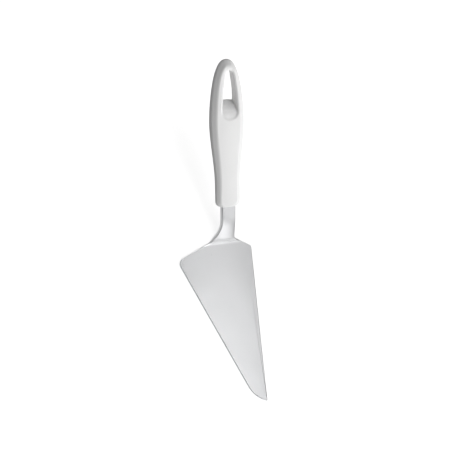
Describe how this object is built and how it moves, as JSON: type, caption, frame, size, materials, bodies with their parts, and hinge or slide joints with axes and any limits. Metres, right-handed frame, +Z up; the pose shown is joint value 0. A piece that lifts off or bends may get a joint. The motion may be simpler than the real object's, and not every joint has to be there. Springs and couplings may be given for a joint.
{
  "type": "cake server",
  "caption": "Cake server: a flat lopsided triangular steel blade on a cranked channel neck, in a smooth hollow white handle with a teardrop hanging eyelet and thumb ramp.",
  "frame": {"origin": "point on the flat blade's underside, on the handle's axis, 45 mm beyond the crease", "axes": "+X along the blade from the handle towards the tip, +Y towards the straight cutting edge, +Z up from the blade's underside"},
  "size_m": [0.2518, 0.06, 0.0661],
  "materials": {
    "steel": "satin",
    "handle_plastic": "gloss",
    "cover_plastic": "gloss"
  },
  "bodies": {
    "root": {"blade": "steel", "handle_body": "handle_plastic", "handle_back_cover": "cover_plastic"}
  },
  "joints": []
}
